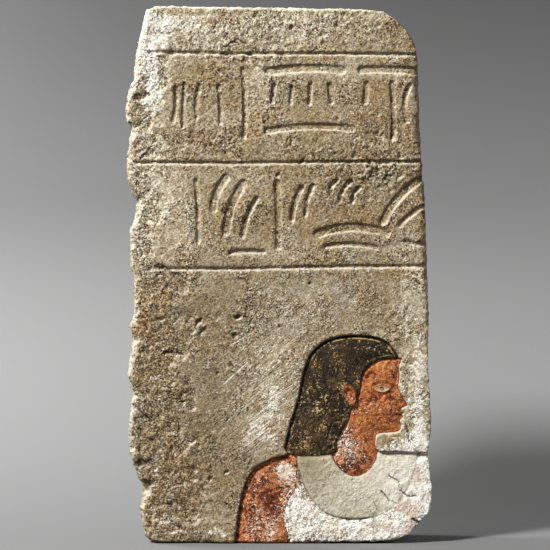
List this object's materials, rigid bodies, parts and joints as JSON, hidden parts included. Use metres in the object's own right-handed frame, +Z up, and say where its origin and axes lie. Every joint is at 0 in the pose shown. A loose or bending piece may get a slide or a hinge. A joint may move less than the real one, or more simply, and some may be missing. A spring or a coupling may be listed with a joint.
{
  "type": "limestone relief panel",
  "caption": "Upright broken limestone wall relief with ruled lines, rows of plain strokes and a sunk, painted head and shoulders in profile, sawn flat behind, standing on its flat underside.",
  "frame": {"origin": "middle of the flat underside that the slab stands on", "axes": "+Z up along the slab's height, -Y out of the carved face, +X to the right seen from the front, +Y out of the sawn back"},
  "size_m": [0.3401, 0.0809, 0.593],
  "materials": {
    "limestone": "weathered buff limestone with remains of red, black and cream paint"
  },
  "bodies": {
    "root": {"relief_panel": "limestone"}
  },
  "joints": []
}
